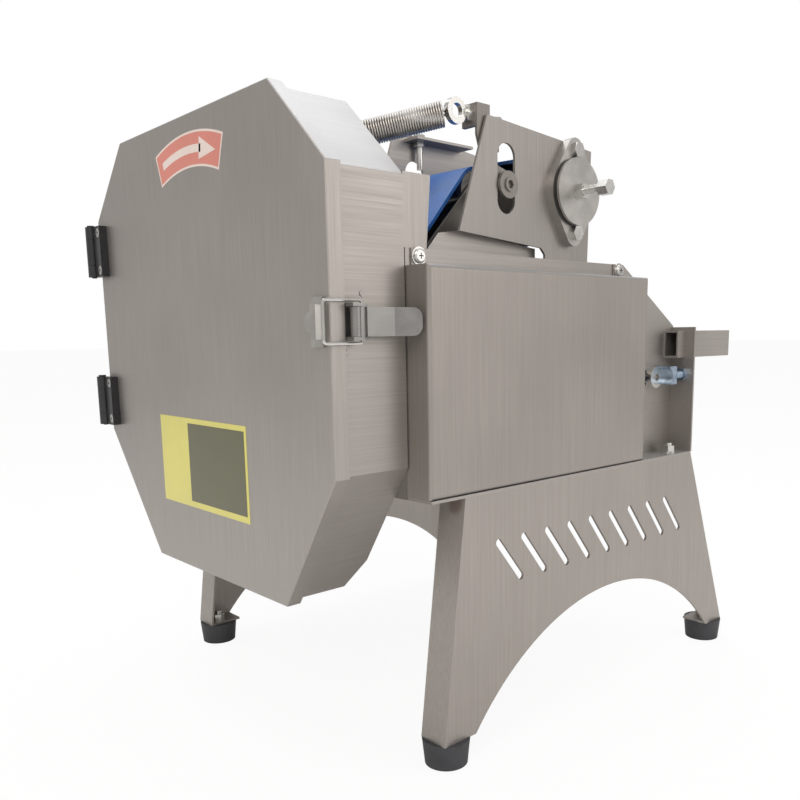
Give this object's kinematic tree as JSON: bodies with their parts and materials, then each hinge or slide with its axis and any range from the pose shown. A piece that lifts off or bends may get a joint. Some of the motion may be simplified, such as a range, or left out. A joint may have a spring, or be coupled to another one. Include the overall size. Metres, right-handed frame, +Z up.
{
  "type": "vegetable slicer",
  "caption": "Belt-fed vegetable slicer with an octagonal knife housing, hinged door, press belt and four rubber feet.",
  "frame": {"origin": "middle of the machine's overall footprint, on the floor", "axes": "+Z up; -Y towards the knife door at the front; +X towards the side with the drive cover and the latch"},
  "size_m": [0.486, 0.597, 0.581],
  "materials": {
    "belt": "textured",
    "black": "painted",
    "bright_steel": "polished",
    "painted": "painted",
    "plastic": "satin",
    "rubber": "matte",
    "stainless": "brushed",
    "zinc": "zinc plated"
  },
  "bodies": {
    "frame": {"arm_bolts": "bright_steel", "arm_plate_right": "stainless", "base_plate": "stainless", "body_cover": "stainless", "chain_guard": "stainless", "conveyor_bed": "plastic", "conveyor_belt": "belt", "conveyor_chain": "painted", "conveyor_gearbox": "painted", "cover_screws": "bright_steel", "drive_bearing": "stainless", "drive_cover": "stainless", "feed_guides": "stainless", "frame_bolts": "bright_steel", "front_bulkhead": "stainless", "handle_tube_left": "stainless", "handle_tube_right": "stainless", "hinge_leaves_housing": "black", "hinge_pins": "bright_steel", "housing": "stainless", "inner_plate": "stainless", "knife_bearing": "painted", "knife_motor": "painted", "knife_v_belt": "rubber", "latch_base": "stainless", "leg_left": "stainless", "leg_right": "stainless", "mouth_hood": "stainless", "pivot_bolts": "bright_steel", "pivot_cap": "stainless", "pivot_flange_left": "stainless", "pivot_flange_right": "stainless", "pivot_seal": "rubber", "press_chain": "painted", "press_gearbox": "painted", "rubber_feet": "rubber", "shear_plate": "plastic", "side_plate_left": "stainless", "side_plate_right": "stainless", "spring": "bright_steel", "tail_axle": "bright_steel", "tension_rod": "zinc"},
    "door": {"door": "stainless", "hinge_leaves_door": "black", "hinge_screws": "bright_steel", "latch_keeper": "stainless"},
    "latch_lever": {"latch_lever": "stainless"},
    "latch_bail": {"latch_bail": "bright_steel"},
    "knife": {"knife_rotor": "bright_steel"},
    "motor_pulley": {"motor_pulley": "painted"},
    "conveyor_drive": {"conveyor_drive_roller": "stainless"},
    "conveyor_tail": {"conveyor_tail_roller": "stainless"},
    "conveyor_sprocket": {"conveyor_sprocket": "painted"},
    "press_drum": {"press_drum": "stainless"},
    "press_sprocket": {"press_sprocket": "painted"},
    "press_arm": {"press_arm": "stainless", "press_belt": "belt", "eye_bolt": "bright_steel"},
    "top_roller": {"top_roller": "stainless"},
    "nose_roller": {"nose_roller": "stainless"}
  },
  "joints": [
    {"name": "door_hinge", "type": "hinge", "parent": "frame", "child": "door", "pos_m": [-0.237, -0.2925, 0.3935], "axis": [0, 0, -1], "range_deg": [0, 160]},
    {"name": "latch_swing", "type": "hinge", "parent": "frame", "child": "latch_lever", "pos_m": [0.2055, -0.2645, 0.3915], "axis": [0, 0, -1], "range_deg": [0, 100]},
    {"name": "bail_swing", "type": "hinge", "parent": "latch_lever", "child": "latch_bail", "pos_m": [0.2028, -0.2565, 0.3915], "axis": [0, 0, 1], "range_deg": [0, 100]},
    {"name": "knife_spin", "type": "hinge", "parent": "frame", "child": "knife", "pos_m": [-0.018, -0.1845, 0.365], "axis": [0, 1, 0], "continuous": true},
    {"name": "motor_spin", "type": "hinge", "parent": "frame", "child": "motor_pulley", "pos_m": [-0.124, -0.1145, 0.318], "axis": [0, 1, 0], "continuous": true},
    {"name": "conveyor_drive_spin", "type": "hinge", "parent": "frame", "child": "conveyor_drive", "pos_m": [0.114, -0.1725, 0.331], "axis": [1, 0, 0], "continuous": true},
    {"name": "conveyor_tail_spin", "type": "hinge", "parent": "frame", "child": "conveyor_tail", "pos_m": [0.114, 0.1535, 0.331], "axis": [1, 0, 0], "continuous": true},
    {"name": "conveyor_sprocket_spin", "type": "hinge", "parent": "frame", "child": "conveyor_sprocket", "pos_m": [0.204, 0.0605, 0.288], "axis": [1, 0, 0], "continuous": true},
    {"name": "press_drum_spin", "type": "hinge", "parent": "frame", "child": "press_drum", "pos_m": [0.114, 0.0045, 0.514], "axis": [1, 0, 0], "continuous": true},
    {"name": "press_sprocket_spin", "type": "hinge", "parent": "frame", "child": "press_sprocket", "pos_m": [0.053, 0.0045, 0.395], "axis": [1, 0, 0], "continuous": true},
    {"name": "press_swing", "type": "hinge", "parent": "frame", "child": "press_arm", "pos_m": [0.114, 0.0045, 0.514], "axis": [1, 0, 0], "range_deg": [-14, 9], "deforming": ["spring"]},
    {"name": "top_roller_spin", "type": "hinge", "parent": "press_arm", "child": "top_roller", "pos_m": [0.114, -0.0825, 0.5126], "axis": [1, 0, 0], "continuous": true},
    {"name": "nose_roller_spin", "type": "hinge", "parent": "press_arm", "child": "nose_roller", "pos_m": [0.114, -0.1665, 0.425], "axis": [1, 0, 0], "continuous": true}
  ],
  "couplings": [
    {"joint": "bail_swing", "follows": "latch_swing", "ratio": 1},
    {"joint": "motor_spin", "follows": "knife_spin", "ratio": 1.7333},
    {"joint": "conveyor_tail_spin", "follows": "conveyor_drive_spin", "ratio": 1},
    {"joint": "conveyor_sprocket_spin", "follows": "conveyor_drive_spin", "ratio": 1.3333},
    {"joint": "press_sprocket_spin", "follows": "press_drum_spin", "ratio": 1},
    {"joint": "top_roller_spin", "follows": "press_drum_spin", "ratio": 1.925},
    {"joint": "nose_roller_spin", "follows": "press_drum_spin", "ratio": 2.8519}
  ]
}
